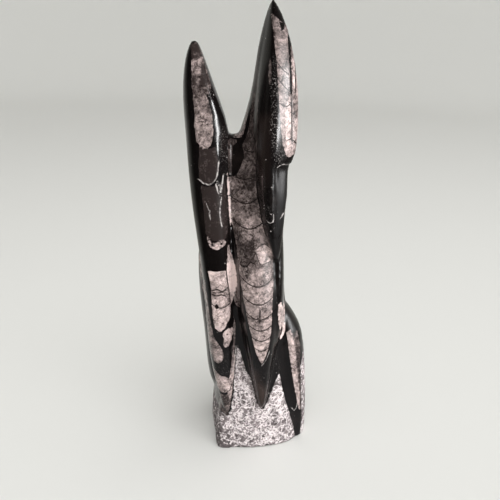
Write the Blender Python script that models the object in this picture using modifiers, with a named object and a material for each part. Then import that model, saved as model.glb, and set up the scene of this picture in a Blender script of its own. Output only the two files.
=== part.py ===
"""Polished orthoceras tower: one block of fossil-bearing limestone, carved so that the fossils stand out as shafts.

Blender 4.5, metres, +Z up, the carved front faces -Y. Origin: middle of the flat foot.
The stone is a bundle of shafts that run up out of a pecked foot and end in two horns. Each shaft is a column of
rings under a Subdivision Surface. Boolean unions join all of them to the foot, and a last cut makes it flat.
"""

import math

import bmesh
import bpy
from mathutils import Matrix, Vector

MM = 0.001

# Ring: (height, middle x, middle y, half width, half depth) in millimetres, listed from the top down.
# Shaft: (squareness, turn in degrees, rings). A squareness of 2 is an ellipse, more is boxy, less is ridged.

# the pecked foot that everything grows from, wider than it is deep, with its front turned a little to the right
FOOT = (5, 10, [
    (98, -7, 4, 8, 9),
    (88, -6, 3, 16, 17),
    (62, -4, 1, 26, 26),
    (30, -3, 0, 31.5, 30.5),
    (8, -3, 0, 32.8, 31.8),
    (-40, -3, 0, 32.8, 31.8),
])

SHAFTS = {
    # the filling between the shafts, up to the saddle between the horns
    "core": (2.4, 0, [
        (229, -20, 1, 5, 5),
        (224, -20, 1, 12, 9),
        (205, -17, 2, 17, 11),
        (180, -14, 2, 19, 14),
        (155, -11, 1, 21, 17),
        (130, -8, -1, 23, 20),
        (100, -7, -1, 24, 23),
        (60, -2, 0, 30, 26),
        (20, -2, 0, 31, 28),
    ]),
    # the blunt horn on the left, and the long shaft below it
    "left": (2.8, 8, [
        (284, -47, 0, 1.5, 2),
        (278, -47, 0, 4.5, 5.5),
        (268, -46.3, 0, 7.5, 9),
        (250, -43.2, -1, 11.6, 13),
        (230, -38.6, -2, 14.4, 15),
        (205, -38.5, -3, 13.2, 15),
        (175, -36.5, -5, 12.3, 14.5),
        (145, -33, -8, 11, 14.5),
        (115, -30.5, -12, 10.2, 14),
        (85, -29.5, -15, 9.5, 13.5),
        (62, -27, -19, 8.3, 11.5),
        (44, -25, -23.5, 5, 8.5),
        (28, -23.5, -29, 1.5, 3),
    ]),
    # the swelling behind the left shaft
    "left_back": (2.3, 0, [
        (178, -33, 6, 4, 6),
        (164, -35, 7, 9.5, 12),
        (143, -35, 8, 13, 16),
        (112, -33, 8, 14, 17),
        (85, -29.8, 9, 14, 17),
        (60, -29, 9, 13.2, 16.5),
        (38, -27.8, 9, 12.8, 14),
        (20, -26, 10, 8, 8),
    ]),
    # the middle shaft: a bow below, the back of the tall horn above
    "middle": (2.3, 0, [
        (306.5, -1, 1, 1, 1.5),
        (297, 0, 2, 5, 6),
        (280, 0.5, 3, 9.5, 11),
        (260, 1, 4, 12, 13.5),
        (240, -1.3, 5, 13.8, 14.5),
        (215, -7.5, 5, 17, 15.5),
        (190, -8, 2, 16, 17),
        (156, -5.5, -7, 15, 19),
        (130, -3.5, -14, 15.5, 20),
        (113, -2, -17, 15, 19),
        (95, -1, -18, 13, 18),
        (72, 0, -19, 9.5, 16),
        (54, 1, -22, 6, 12),
        (34, 2, -29, 2, 4),
    ]),
    # the tall horn's front, which ends in a point over the middle shaft
    "right": (1.2, -14, [
        (307.5, -1, -1, 0.8, 1),
        (299, 1.2, -3, 4.5, 4.8),
        (284, 3, -6, 9.5, 9.5),
        (257, 4.1, -9, 14.1, 13.8),
        (235, 3.8, -12, 15, 14.5),
        (222, 3.6, -13, 14.9, 14.5),
        (216.5, 3.2, -13.8, 13.4, 14),
        (212.5, 2.9, -14.3, 11.2, 13),
        (193, 3.4, -18, 10.1, 11.5),
        (170, 4.8, -22, 6.9, 9),
        (150, 8, -26, 2, 4),
    ]),
    # the narrow rim beside the middle shaft, to the right
    "rim": (2, 0, [
        (178, 8, -8, 3, 4),
        (150, 9.2, -15, 4, 10),
        (125, 10.1, -19, 4.4, 11),
        (100, 10.2, -20, 4.7, 10),
        (76, 8, -21, 2, 5),
    ]),
    # the shaft on the back, under the tall horn
    "back": (2.4, 0, [
        (238, -2, 10, 4, 4),
        (218, 0, 11, 9, 9),
        (185, 1, 12, 12, 13),
        (140, 0, 13, 14, 17),
        (100, -1, 14, 16.5, 18),
        (60, 0, 15, 16, 17),
        (30, -1, 20, 5, 7),
    ]),
    # the low shoulder on the right, which narrows to the foot's front corner
    "shoulder": (2.6, 10, [
        (112, 10, 0, 2, 4),
        (108, 11.8, 0, 6.2, 9),
        (98, 15.4, 0, 9.2, 15),
        (88, 18.8, 0, 11.1, 18),
        (70, 21.1, 0, 11, 20),
        (40, 23.7, 0, 11.5, 20.5),
        (8, 25.2, 0, 11.2, 20.5),
        (-40, 25.2, 0, 11.2, 20.5),
    ]),
    # the pecked corner of the foot at the front left, squarer than the others
    "corner": (6, 8, [
        (46, -24, -20, 3, 4),
        (30, -23.5, -22.5, 7, 8),
        (12, -23.4, -24.5, 9, 9.5),
        (-40, -23.2, -25, 9.6, 10),
    ]),
    # a short shaft low on the back, leaning on the shoulder
    "low_back": (2.2, 0, [
        (106, 13, 13, 2, 4),
        (92, 15, 15, 8, 9),
        (68, 17, 17, 11, 12),
        (40, 18, 18, 10, 12),
        (12, 18, 20, 4, 6),
    ]),
}

# corners round a ring, and the share of its radius that a closed ring keeps under Catmull-Clark smoothing
CORNERS = 16
SHRINK = 2 / 3 + math.cos(2 * math.pi / CORNERS) / 3
SMOOTH_LEVELS = 1

FLOOR_SIZE = 200 * MM

LIMESTONE = (0.055, 0.045, 0.042, 1)
POLISH_ROUGHNESS = 0.25


def ring_points(ring, squareness, turn):
    """Corners of one ring, anticlockwise from above, wide enough that the smoothed ring has its size."""
    height, x, y, half_width, half_depth = ring
    turned = Matrix.Rotation(math.radians(turn), 2)
    for corner in range(CORNERS):
        angle = 2 * math.pi * corner / CORNERS
        along = math.cos(angle)
        across = math.sin(angle)
        reach = (abs(along) ** squareness + abs(across) ** squareness) ** (-1 / squareness) / SHRINK
        flat = turned @ Vector((half_width * reach * along, half_depth * reach * across))
        yield Vector((x + flat.x, y + flat.y, height)) * MM


def shaft_object(name, shaft, collection):
    """A closed column lofted through the shaft's rings, smoothed by a Subdivision Surface."""
    squareness, turn, rings = shaft
    cage = bmesh.new()
    loops = [[cage.verts.new(point) for point in ring_points(ring, squareness, turn)] for ring in reversed(rings)]
    for lower, upper in zip(loops, loops[1:]):
        for here in range(CORNERS):
            there = (here + 1) % CORNERS
            cage.faces.new((lower[here], lower[there], upper[there], upper[here]))
    cage.faces.new(reversed(loops[0]))
    cage.faces.new(loops[-1])
    mesh = bpy.data.meshes.new(name)
    cage.to_mesh(mesh)
    cage.free()
    mesh.shade_smooth()
    column = bpy.data.objects.new(name, mesh)
    collection.objects.link(column)
    smooth = column.modifiers.new("smooth", "SUBSURF")
    smooth.levels = SMOOTH_LEVELS
    smooth.render_levels = SMOOTH_LEVELS
    return column


def add_boolean(target, helper, operation):
    """A Boolean on the target with the helper, which is only shown as a wire."""
    helper.hide_render = True
    helper.display_type = "WIRE"
    boolean = target.modifiers.new(helper.name, "BOOLEAN")
    boolean.operation = operation
    boolean.solver = "EXACT"
    boolean.object = helper


def limestone():
    """Black limestone with a brown tint, polished."""
    material = bpy.data.materials.new("polished_limestone")
    material.use_nodes = True
    shader = material.node_tree.nodes["Principled BSDF"]
    shader.inputs["Base Color"].default_value = LIMESTONE
    shader.inputs["Roughness"].default_value = POLISH_ROUGHNESS
    shader.inputs["Metallic"].default_value = 0
    return material


for old in list(bpy.data.objects):
    bpy.data.objects.remove(old)

fossil = bpy.data.collections.new("orthoceras_fossil")
cutters = bpy.data.collections.new("cutters")
bpy.context.scene.collection.children.link(fossil)
bpy.context.scene.collection.children.link(cutters)

tower = shaft_object("orthoceras_tower", FOOT, fossil)
tower.data.materials.append(limestone())
for shaft_name, shaft in SHAFTS.items():
    add_boolean(tower, shaft_object(shaft_name, shaft, cutters), "UNION")

bpy.ops.mesh.primitive_cube_add(size=FLOOR_SIZE, location=(0, 0, -FLOOR_SIZE / 2))
floor = bpy.context.object
floor.name = "floor"
for home in list(floor.users_collection):
    home.objects.unlink(floor)
cutters.objects.link(floor)
add_boolean(tower, floor, "DIFFERENCE")
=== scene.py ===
"""Looks of the orthoceras fossil tower: one upright bundle of polished shafts on a pecked foot.

Lengths in the tables below are in millimetres, but the studio's are in metres. Heights are measured up from
the flat foot. A side is the direction that a marking is seen from: 0 is the front, 90 the right, 180 the
back and 270 the left.
"""

import math
from collections import namedtuple

import bpy
import numpy as np
from mathutils import Euler, Matrix, Vector, noise
from mathutils.bvhtree import BVHTree


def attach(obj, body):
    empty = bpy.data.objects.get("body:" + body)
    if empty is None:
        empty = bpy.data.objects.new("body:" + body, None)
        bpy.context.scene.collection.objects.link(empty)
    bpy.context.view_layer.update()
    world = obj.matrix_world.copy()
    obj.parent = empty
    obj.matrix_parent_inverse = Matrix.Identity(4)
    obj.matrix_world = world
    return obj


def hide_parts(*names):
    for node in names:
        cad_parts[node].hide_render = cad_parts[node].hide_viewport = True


bl_info = {
    "name": "Orthoceras Fossil Tower",
    "version": (1, 0, 0),
    "blender": (4, 5, 0),
    "location": "3D Viewport > Sidebar > Fossil Tower",
    "description": "Carves, marks and polishes an orthoceras limestone tower and sets its studio",
    "category": "Object",
}

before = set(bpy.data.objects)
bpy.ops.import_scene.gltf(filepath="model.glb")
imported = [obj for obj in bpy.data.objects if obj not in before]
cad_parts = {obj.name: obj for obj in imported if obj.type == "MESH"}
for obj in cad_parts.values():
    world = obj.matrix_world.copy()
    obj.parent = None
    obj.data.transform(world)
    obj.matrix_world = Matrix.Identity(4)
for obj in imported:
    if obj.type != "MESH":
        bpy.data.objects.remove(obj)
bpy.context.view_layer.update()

MM = 0.001
NODE = "orthoceras_tower"
PIECE = "polished_tower"

# ---------------------------------------------------------------------------------------------
# The roughed-out foot that the chisel has pecked, a big column and the small one at its front left corner:
# squareness, turn in degrees, and rings as height, middle across, middle deep, half width, half depth.
# ---------------------------------------------------------------------------------------------
FOOT_COLUMNS = (
    (5, 10, (
        (98, -7, 4, 8, 9), (88, -6, 3, 16, 17), (62, -4, 1, 26, 26), (30, -3, 0, 31.5, 30.5),
        (8, -3, 0, 32.8, 31.8), (-40, -3, 0, 32.8, 31.8),
    )),
    (6, 8, (
        (46, -24, -20, 3, 4), (30, -23.5, -22.5, 7, 8), (12, -23.4, -24.5, 9, 9.5),
        (-40, -23.2, -25, 9.6, 10),
    )),
)
FOOT_CORNERS = 16

# The shoulder's rough right side: heights, and how far across it begins.
ROUGH_SIDE_HEIGHTS = (0, 20, 44, 57, 70, 84)
ROUGH_SIDE_ACROSS = (33.4, 33.4, 31.2, 30.2, 29.2, 28.7)

# ---------------------------------------------------------------------------------------------
# Fossils: wrap is how squarely the stone has to face the side for the fossil to show; rows are height,
# left edge and right edge as seen from the side; septa are the heights of the chamber walls; tones are
# height and lightness, from 0 for smoky calcite to 1 for the palest.
# ---------------------------------------------------------------------------------------------
Fossil = namedtuple("Fossil", "side wrap rows septa tones")

MAIN_FOSSIL = Fossil(
    0, 0.05,
    (
        (284, -9, -8), (273, -9.9, -7.9), (262, -10.8, -7.9), (250, -11.9, -7.8), (237, -12.7, -7.7),
        (230, -13.7, -7.6), (222, -16.8, -7.6), (216, -15.3, -7.7), (210, -17, -7.8), (204, -20, -7.8),
        (202, -25.2, -7.7), (194, -24.8, -6.9), (186, -24.2, -5.3), (177, -23.3, -3.4),
        (169, -21.9, -0.9), (165, -20.9, 1.4), (160, -19.8, 3.8), (151, -18.4, 5.3), (143, -16.8, 5.9),
        (135, -15.5, 6.1), (127, -14.1, 6), (118, -12.1, 6), (110, -10.1, 6), (101, -8, 5.8),
        (93, -5.9, 5), (87, -4, 4), (81.5, -1.9, 2.4), (77.5, 0.3, 0.7),
    ),
    (219, 201.5, 186.5, 171, 135, 123, 112.5, 104, 96, 88),
    # lightness falls towards the top partly because the upper chambers are browner, and partly as painted
    # shade where the channel lies recessed in the tall horn's shadow
    (
        (284, 0.1), (232, 0.2), (215, 0.3), (203, 0.37), (182, 0.44), (174, 0.62), (166, 0.58), (158, 0.55),
        (148, 0.62), (140, 0.66), (130, 0.68), (120, 0.74), (100, 0.76), (77, 0.8),
    ),
)
TALL_HORN_FOSSIL = Fossil(
    0, -0.35,
    (
        (298.6, -1.7, -1.5), (296.5, -1.6, 1.2), (295.2, -1.4, 3), (294, -1.2, 5.1), (292.8, -0.9, 7.3),
        (291, -0.5, 24), (282, 1, 24), (268, 2.9, 24), (253, 4.4, 24), (236, 6.3, 24), (226, 8.1, 24),
        (221.5, 9.7, 18.2), (219.5, 10.6, 14.8), (218.2, 12.4, 12.8),
    ),
    (),
    ((300, 0.46), (288, 0.48), (275, 0.5), (262, 0.6), (250, 0.6), (238, 0.66), (225, 0.76)),
)
LEFT_HORN_FOSSIL = Fossil(
    0, 0.05,
    (
        (274.4, -41.6, -41.1), (273.2, -46.9, -41.3), (271.6, -48, -41.7), (267.8, -48.1, -42.6),
        (263.4, -47.6, -43.3), (258, -47.9, -42.2), (254.5, -47.2, -40.2), (251, -46.9, -38.1),
        (246.6, -46.2, -36.6), (242, -45.8, -35.3), (236, -46.2, -34.7), (231, -45.6, -34.3),
        (226, -45, -35.2), (223.6, -43, -36.1), (221.6, -41.3, -37.8), (220.8, -40, -38.8),
    ),
    (),
    ((274, 0.62), (266, 0.56), (261, 0.36), (256, 0.33), (251, 0.38), (245, 0.52), (239, 0.7), (221, 0.76)),
)
LOW_LEFT_FOSSIL = Fossil(
    0, 0,
    (
        (141.2, -38, -25.2), (134, -36.3, -24.7), (128, -35.6, -23.6), (120.6, -35.2, -22.7),
        (113.3, -34.8, -22), (106, -33.9, -22.4), (103.6, -33.6, -24.1), (99.8, -32.7, -25.8),
        (98.2, -30.5, -27.6), (97.6, -29.4, -28.2),
    ),
    (115.2,),
    ((142, 0.97), (133, 0.93), (128, 0.74), (123.5, 0.72), (120, 0.84), (110, 0.88), (98, 0.9)),
)
GROOVE_FOSSIL = Fossil(
    0, -0.3,
    (
        (158, -24.5, -24), (153, -24.9, -22.9), (149, -25, -21.6), (144, -25, -20.1), (138, -24.9, -18.7),
        (131, -24.2, -18.2), (124.5, -23.3, -19.5), (119, -22.6, -21), (116, -22.2, -21.8),
    ),
    (),
    # lightness above 1 is painted light that lifts the shade of the groove
    ((158, 0.7), (148, 0.95), (143, 1.35), (130, 1.3), (118, 1)),
)
BACK_FOSSILS = (
    Fossil(
        180, 0.05,
        (
            (231, 3.5, 5), (228, 0.5, 6.5), (221, -2.5, 7), (205, -7, 9), (180, -9, 9.5), (150, -9, 8.5),
            (120, -7.5, 7), (95, -5, 5), (72, -1, 1.5),
        ),
        (207, 191, 176, 162, 149, 137, 126, 116, 107, 99, 92, 86),
        ((222, 0.35), (180, 0.5), (150, 0.7), (72, 0.8)),
    ),
    Fossil(
        180, 0.05,
        (
            (156, 32, 33.5), (152, 29.5, 36), (146, 27, 37.5), (130, 25, 39), (105, 25.5, 38),
            (80, 27, 35.5), (58, 30, 31),
        ),
        (138, 125, 113, 102, 92, 83, 75, 68),
        ((150, 0.6), (58, 0.85)),
    ),
    Fossil(
        180, 0.05,
        (
            (270, 43.5, 44.5), (266, 42, 46.5), (257, 40, 47.5), (245, 38.5, 48.5), (225, 38, 48),
            (205, 40, 46), (196, 43, 43.5),
        ),
        (),
        ((262, 0.4), (230, 0.7), (196, 0.8)),
    ),
    Fossil(
        180, 0.05,
        ((295, -1, 0.5), (292, -3, 2), (284, -5, 4), (265, -7, 6), (245, -6, 7), (228, -3, 5), (215, 0, 1)),
        (),
        ((288, 0.45), (250, 0.65), (215, 0.8)),
    ),
    Fossil(
        180, 0.05,
        (
            (95, -20.5, -19.5), (91, -23, -17.5), (84, -25.5, -15), (75, -27, -14), (55, -27, -15),
            (38, -23, -18),
        ),
        (80, 70, 61, 53, 46),
        ((90, 0.8), (38, 0.65)),
    ),
)
SIDE_FOSSILS = (
    Fossil(
        90, 0.05,
        (
            (197, 11.5, 12.5), (193, 9.5, 14.5), (184, 7.5, 16), (170, 6, 17), (145, 6, 17), (120, 8, 15),
            (104, 11, 12),
        ),
        (178, 165, 153, 142, 132, 123, 115),
        ((190, 0.4), (150, 0.7), (104, 0.8)),
    ),
    Fossil(
        270, 0.05,
        (
            (247, -1, 0), (243, -3.5, 2), (234, -6, 4), (215, -7, 6), (185, -6, 7), (160, -4, 7),
            (140, -1, 6), (124, 3, 4),
        ),
        (226, 213, 201, 190, 180, 171, 163, 156, 149, 143),
        ((238, 0.4), (200, 0.62), (124, 0.8)),
    ),
)
FOSSILS = (
    MAIN_FOSSIL, TALL_HORN_FOSSIL, LEFT_HORN_FOSSIL, LOW_LEFT_FOSSIL, GROOVE_FOSSIL, *BACK_FOSSILS,
    *SIDE_FOSSILS,
)

# Edges that two marks share, as across and height: where polish meets the pecked foot on the left, the
# lower edge of the left flank's fossil, and the top and bottom of a pale chamber in the main fossil.
LEFT_POLISH_EDGE = ((-34.8, 26), (-32, 28.5), (-29, 30.8), (-25.8, 29.9), (-23.2, 27.2), (-22.2, 30.7))
FLANK_EDGE = ((-20.3, 54.4), (-21.6, 50.8), (-24.8, 48.8), (-28.1, 48.8), (-32, 51), (-35.5, 55))
PALE_TOP = ((-5.8, 159.1), (-3.6, 161.1), (-0.4, 162.2), (2.4, 160.2))
PALE_BOTTOM = ((-5.8, 155.3), (-4.3, 151.6), (-2.6, 148.8), (0, 149.5), (3.3, 150.5))

# ---------------------------------------------------------------------------------------------
# Patches in the order that they are laid: what they are of, side, amount, and outline as across and
# height. The amount is a lightness for calcite, tone and bruised, and a strength for the others.
# ---------------------------------------------------------------------------------------------
PATCHES = (
    # chambers of the left horn's fossil that are filled with dark stone
    ("calcite", 0, 0.12, (
        (-49.3, 281), (-45.7, 282), (-42.4, 278), (-41, 274.6), (-43, 273.4), (-45.3, 272.8), (-48, 273.3),
    )),
    ("calcite", 0, 0.24, (
        (-41.1, 273.8), (-39.4, 269), (-37.8, 264), (-36.1, 257.8), (-37, 253.2), (-39.2, 253.2),
        (-41, 256.4), (-42.8, 260.6), (-43.3, 263.6), (-42.4, 268),
    )),
    ("calcite", 0, 0.1, (
        (-43.2, 222), (-43.6, 211.3), (-43.5, 203.8), (-41.7, 200.8), (-38.9, 199.3), (-36.4, 199.2),
        (-33.9, 200.9), (-32.4, 204), (-31.6, 209.6), (-31.8, 215.8), (-33, 222.8), (-36.2, 221.6),
    )),
    ("calcite", 0, 0.04, (
        (-42.4, 198.8), (-38.9, 197.7), (-34.5, 198.1), (-30.8, 199.8), (-27.5, 202.1), (-26.2, 194.7),
        (-25.5, 184.7), (-25, 174.7), (-24.9, 166.9), (-25.7, 163.2), (-28.6, 162.2), (-33.1, 162.2),
        (-37, 163.8), (-39, 166.7), (-39.9, 174.7), (-40.9, 185.9),
    )),
    ("calcite", 0, 0.8, (
        (-38.5, 165.4), (-36.7, 162.5), (-33.7, 160.5), (-31.1, 161.5), (-28.2, 162.2), (-25.8, 161),
        (-26.3, 158.9), (-28.5, 157.3), (-30.4, 156.2), (-33.7, 156.4), (-36.2, 157.9), (-37.8, 160.4),
    )),
    ("calcite", 0, 0.9, ((-34.9, 180.4), (-33.7, 178.2), (-32.1, 178.4), (-33, 173.4), (-34, 176))),
    ("calcite", 0, 0.6, ((-41, 191.9), (-40, 192.7), (-38.9, 191.9), (-39.1, 190.6), (-40.5, 190.5))),
    # fossils and pieces of fossil on the left flank and in the grooves, and a painted highlight along the
    # main fossil's left edge
    ("calcite", 0, 0.5, (
        (-44, 150), (-41, 136), (-38.6, 122), (-37.2, 111), (-35.4, 101), (-33.8, 93.2), (-32, 90.1),
        (-29.8, 87.5), (-27.3, 83.6), (-26.3, 78.9), (-27.5, 74.6), (-30, 72.6), (-33, 73.3), (-36, 77),
        (-39, 84), (-41.5, 95), (-47, 105),
    )),
    ("calcite", 0, 0.58, (
        (-44, 73), (-39, 68.5), (-36, 66.5), (-32.2, 65.6), (-29.2, 63.1), (-24.6, 62.1), (-21, 58.2),
        *FLANK_EDGE, (-39, 60), (-44, 64),
    )),
    ("calcite", 0, 0.84, (
        (-27.6, 95.1), (-25.7, 97.8), (-23.1, 99.7), (-20.8, 100.3), (-20.4, 93.7), (-21.2, 89.4),
        (-22.9, 85.8), (-24.9, 84.5), (-26.7, 87.4), (-26, 91.2),
    )),
    ("calcite", 0, 0.42, (
        (-18.2, 131), (-16.5, 127), (-15.8, 120), (-15.7, 115.6), (-18.2, 114.3), (-20.1, 118.5),
        (-20.3, 123.4), (-18.9, 128.3),
    )),
    ("calcite", 0, 0.3, (
        (-25.8, 226), (-23.2, 226.4), (-20.6, 225.6), (-20.3, 224.4), (-21, 223.2), (-22.9, 221.2),
        (-23.1, 213.1), (-23, 202.9), (-24.9, 205.4), (-25.6, 213.6), (-25.8, 222.2),
    )),
    # painted highlight: the white-pink streak of light along the main fossil's left edge in the groove
    ("calcite", 0, 1.35, (
        (-25.7, 206.4), (-24.6, 200.2), (-23.5, 193.8), (-23.1, 183.9), (-22.9, 176.6), (-22.9, 168),
        (-24.1, 176.5), (-24.8, 187.4), (-25.5, 197.5), (-25.8, 203.5),
    )),
    ("calcite", 0, 0.29, (
        (-40, 56), (-38, 35), *LEFT_POLISH_EDGE, (-21.1, 37.3), (-20.5, 45.7), (-22.5, 47.5), (-25, 47.2),
        (-29, 47.2), (-33, 49.5),
    )),
    ("calcite", 0, 0.72, (
        (-18.2, 76), (-18.3, 67), (-19, 60), (-19.8, 52), (-20.4, 44), (-22.2, 31), (-24.4, 30.4),
        (-23.8, 40), (-23, 50), (-22.2, 58), (-21.2, 66), (-20, 76),
    )),
    ("calcite", 0, 0.5, (
        (-20, 110), (-18.9, 100), (-18.6, 88), (-19.2, 76), (-20.2, 66), (-21, 66), (-20.2, 78), (-19.8, 92),
        (-20.3, 102),
    )),
    # to the right of the main fossil
    ("calcite", 0, 0.38, (
        (-1.6, 275.4), (-0.9, 272.4), (-0.7, 268), (-0.4, 261.6), (-1.3, 259.2), (-2.2, 262.6), (-2.2, 270.7),
    )),
    ("calcite", 0, 0.88, (
        (10.2, 121.5), (12, 122), (15.4, 113), (16.5, 106), (16.3, 100), (14.5, 96.5), (12.2, 100.5),
        (11, 106.8), (10.2, 114),
    )),
    # painted highlight: the curved white streak of light below the small fossil by the rim
    ("calcite", 0, 1, (
        (15.7, 101.4), (16.9, 98.9), (16.7, 93.5), (15.2, 89), (13.8, 86.9), (13.2, 88.2), (14.5, 92.1),
        (15.2, 96.9),
    )),
    ("calcite", 0, 0.3, (
        (21.6, 90), (24.3, 80), (26.8, 66.2), (28.7, 53.2), (30.2, 42.2), (31.8, 30), (33, 20),
        (33.3, 26), (31.3, 43.4), (30.3, 56.6), (29.3, 69.2), (29, 79.9), (25.6, 92),
    )),
    # painted highlight: a pale stripe down the shoulder's front that stands in for the light it reflects
    ("calcite", 0, 0.8, (
        (17.8, 92), (20.6, 94), (22.8, 88.6), (25.2, 78.7), (27.5, 66.2), (29.2, 53.2), (30.4, 42.2),
        (31.3, 29.9), (31.6, 24.2), (30.2, 27.6), (28.1, 37.3), (25.4, 49.2), (22.9, 62.3), (20.7, 74.6),
        (19, 84.8),
    )),
    # black stone that shows through the fossils
    ("limestone", 0, 1, (
        (-22.9, 221.9), (-20.1, 224.3), (-18, 225.6), (-16, 225), (-16.9, 220.8), (-15.5, 214.8),
        (-17, 210.9), (-18.8, 206.3), (-20.7, 203.1), (-23, 202.9),
    )),
    ("limestone", 0, 1, (
        (3, 294.3), (4.8, 293.5), (6.6, 292.9), (6.4, 291.1), (5.2, 289), (4, 289.2), (4.6, 291.3),
        (3.4, 292.4),
    )),
    ("limestone", 0, 1, (
        (9.2, 290.4), (11, 287), (11.7, 283), (10.8, 281), (11.1, 273.7), (11.7, 265.6), (12.5, 256.2),
        (12, 252.4), (10.8, 257.3), (10.2, 268.3), (9.4, 279.1), (8.4, 285.5),
    )),
    ("limestone", 0, 1, (
        (-33.2, 117), (-32.1, 118.3), (-30.7, 117.7), (-30, 115.7), (-31, 113.9), (-32.5, 114.4),
    )),
    ("limestone", 0, 1, (
        (-23.7, 104.1), (-22.3, 106.4), (-19.5, 105.4), (-20.3, 100.4), (-21.7, 98.2), (-23.7, 99.7),
    )),
    ("limestone", 0, 1, ((-36.6, 161), (-34.6, 160.2), (-33.6, 158.6), (-35.2, 159), (-36.8, 160))),
    ("limestone", 0, 1, ((-30.2, 160.4), (-28.4, 160.8), (-27.6, 159.6), (-29.4, 158.8))),
    ("limestone", 0, 1, ((-25, 95.2), (-23.8, 96), (-23.4, 94.8), (-24.4, 94.2))),
    ("limestone", 0, 1, ((-24.6, 90.4), (-23.8, 90.8), (-23.4, 89.2), (-24, 88.8))),
    # where the front's fossils end round the corners
    ("limestone", 90, 1, (
        (3, 222), (8, 225), (11, 232), (13, 246), (16, 262), (24, 262), (24, 210), (2, 210),
    )),
    ("limestone", 270, 1, (
        (-40, 92), (22, 82), (19, 74), (14, 69), (11.5, 64), (12, 59), (15, 55), (20, 52), (8, 47), (4, 42),
        (3, 36), (6, 31), (10, 27), (-40, 24),
    )),
    ("limestone", 270, 1, ((-40, 150), (-6, 146), (0, 134), (4, 118), (6, 104), (2, 90), (-40, 90))),
    # darker and paler places inside the calcite, and a painted highlight on the tall horn's fossil
    ("tone", 0, 0.28, (
        (-18.6, 163.8), (-14.7, 161.8), (-12.2, 159.3), (-10.5, 163), (-8.2, 166), (-7.4, 161.4),
        (-6.3, 158.4), (-6.4, 154.7), (-7.4, 150), (-9.8, 151), (-12.3, 146.9), (-15, 147.3), (-17.6, 148.3),
    )),
    ("tone", 0, 0.9, (*PALE_TOP, (4.1, 157.6), (4.7, 152.3), *reversed(PALE_BOTTOM))),
    ("tone", 0, 0.62, ((-33.5, 84), (-29, 84), (-26.3, 79), (-28.5, 73), (-33, 73.5))),
    ("tone", 0, 0.78, ((-31, 62), (-25, 62), (-20.6, 55), (-24.5, 49), (-30, 50), (-32, 56))),
    ("tone", 0, 0.9, ((12.1, 274.5), (13.9, 273), (15, 265.5), (15, 256), (12.8, 255), (12.2, 262.8))),
    # painted highlight on the tall horn's fossil, over calcite that is pale there as well
    ("tone", 0, 0.95, ((8.8, 250), (11.6, 254), (12.8, 240), (12.2, 226), (10.6, 224), (9, 236))),
    ("tone", 180, 0.35, ((-4, 190), (3, 194), (6, 178), (1, 172), (-5, 178))),
    # white specks in the black stone
    ("speckle", 0, 0.65, (
        (-1, 277), (2, 276), (3.8, 262.8), (4.4, 253), (5.3, 245.3), (6.3, 236.2), (8.1, 225.7), (11, 217),
        (4.2, 214), (0.9, 223.5), (-0.2, 235), (-0.6, 246.2), (-0.7, 265),
    )),
    ("speckle", 0, 0.5, ((-42, 273), (-37, 265), (-34, 252), (-39, 252), (-43, 263))),
    ("speckle", 0, 0.4, ((-34, 235), (-25, 235), (-24, 200), (-31, 205))),
    ("speckle", 0, 0.35, ((-36, 73), (-21, 84), (-21, 62), (-33, 66))),
    ("speckle", 0, 0.3, ((-9, 210), (4, 206), (8, 175), (0, 168), (-6, 186))),
    ("speckle", 0, 0.2, ((-8, 76), (14, 90), (16, 62), (6, 44), (-4, 50))),
    ("speckle", 180, 0.7, ((-16, 200), (-6, 210), (-8, 150), (-20, 140))),
    # browner stone, which on the V below the main fossil also paints the warm reflection that the V catches
    # from below
    ("warm", 0, 0.5, ((-8, 242), (-1, 243), (-1, 223), (-1.4, 205), (-3.6, 198), (-5.6, 203), (-7.1, 221))),
    # browner stone on the V, partly a painted reflection of the warm surface below it
    ("warm", 0, 1, ((-7, 66), (-3.4, 70), (-1, 62), (5, 52), (2, 34), (-3, 44))),
    ("warm", 180, 0.8, ((-12, 205), (0, 214), (6, 190), (2, 150), (-10, 140))),
    # chiselled tongues that run up between the shafts, and polish that runs down over the foot
    ("pecked", 0, 1, ((-17, 85), (-14.5, 78), (-11, 66), (-8, 54), (-19, 54), (-18.6, 68))),
    ("pecked", 0, 1, ((13.2, 63), (15.5, 55), (17.3, 46), (9, 46), (11, 54))),
    ("polished", 0, 1, (
        (14.6, 64), (15, 58.2), (16.1, 51.4), (17.4, 45.9), (19.6, 38.2), (22, 30.3), (24.9, 20.2),
        (27.5, 10.2), (29.3, 0.9), (30, -4), (33.4, -4), (33.4, 20), (31.2, 44), (29.2, 70), (28.7, 90),
        (14.6, 90),
    )),
    ("polished", 0, 1, (
        (2.9, 33.2), (6.3, 40.6), (8.3, 46.9), (10.3, 51.8), (12.3, 57.3), (13.9, 62), (13, 72), (-10, 74),
        (-8.3, 63.6), (-5.9, 56.3), (-3.5, 49.9), (-1.2, 45.9), (1.1, 40),
    )),
    ("polished", 0, 1, (
        (-46, 66), (-40, 40), (-37, 27), *LEFT_POLISH_EDGE, (-21, 37.3), (-20.2, 45.7), (-19.6, 52),
        (-18.8, 60), (-18, 67), (-18, 76), (-24, 76),
    )),
    # how white the chisel has bruised the foot, and on its left side painted shade that makes it darker
    ("bruised", 0, 0.75, (
        (0.5, 33), (3, 30), (7, 40), (10, 48), (13.5, 58), (15, 62), (16, 52), (12, 38), (7, 26), (1, 22),
        (-4, 34),
    )),
    ("bruised", 0, 0.68, ((-18, 76), (-13, 86), (-8, 64), (-2, 46), (-8, 40), (-18, 56))),
    ("bruised", 0, 0.36, ((-17, 52), (-12, 52), (-11, 38), (-16, 36), (-21, 44))),
    ("bruised", 0, 0.2, ((-42, 40), (-28, 30), (-22, 18), (-18, -4), (-42, -4))),
    # painted shade: the foot's left side, turned from the light, is kept darker
    ("bruised", 270, 0.18, ((-24, 70), (26, 70), (30, 20), (30, -4), (-24, -4))),
    ("bruised", 90, 0.35, ((-40, 90), (40, 90), (40, -4), (-40, -4))),
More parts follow.
